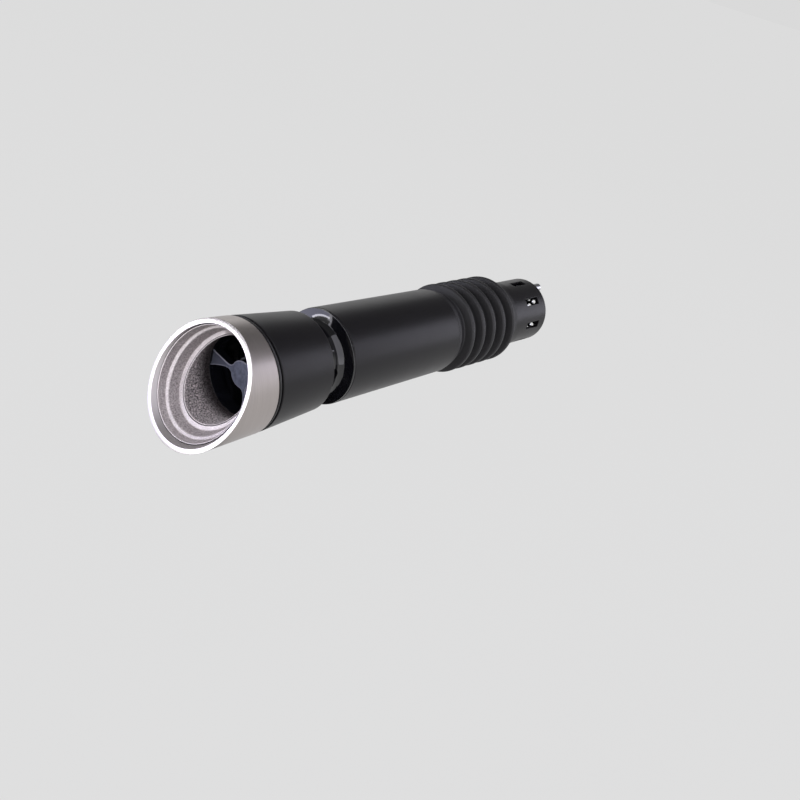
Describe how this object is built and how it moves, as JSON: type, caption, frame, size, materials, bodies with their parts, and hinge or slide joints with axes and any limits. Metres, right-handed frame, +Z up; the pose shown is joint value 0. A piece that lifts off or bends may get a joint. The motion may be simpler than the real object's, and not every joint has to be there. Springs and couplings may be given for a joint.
{
  "type": "aerating pourer",
  "caption": "Bottle-neck pourer with a slanted steel mouth, a push-to-shut aerating head on a flared core, a tapered black neck, a ribbed stopper and a strainer.",
  "frame": {"origin": "on the axis, at the front edge of the first sealing rib of the stopper", "axes": "+X along the axis from the mouth to the strainer, +Z up while pouring, with the long lip of the mouth at -Z"},
  "size_m": [0.1081, 0.0216, 0.0215],
  "materials": {
    "ring_steel": "satin turned outside, bead blasted inside",
    "gasket_rubber": "moulded",
    "satin_black": "satin moulded",
    "gloss_black": "gloss moulded",
    "smoked": "gloss moulded, smoked",
    "seal_silicone": "moulded",
    "stopper_silicone": "moulded, matt",
    "acetal": "machined",
    "spring_steel": "bright drawn"
  },
  "bodies": {
    "neck": {"core_spool": "gloss_black", "core_seal": "seal_silicone", "retaining_clip": "spring_steel", "nozzle": "smoked", "nozzle_seal": "seal_silicone", "neck_seal": "seal_silicone", "neck_tube": "satin_black", "flow_tube": "smoked", "air_tube": "spring_steel", "barrel": "satin_black", "stopper": "stopper_silicone", "strainer_cage": "satin_black", "strainer_mesh": "spring_steel", "mesh_clip": "spring_steel"},
    "head": {"mouth_ring": "ring_steel", "mouth_gasket": "gasket_rubber", "head_shell": "satin_black", "mixing_chamber": "gloss_black", "flow_divider": "smoked", "valve_plug": "seal_silicone", "guide_bush": "acetal"}
  },
  "joints": [
    {"name": "head_slide", "type": "slide", "parent": "neck", "child": "head", "axis": [1, 0, 0], "range_m": [0, 0.0048]}
  ]
}
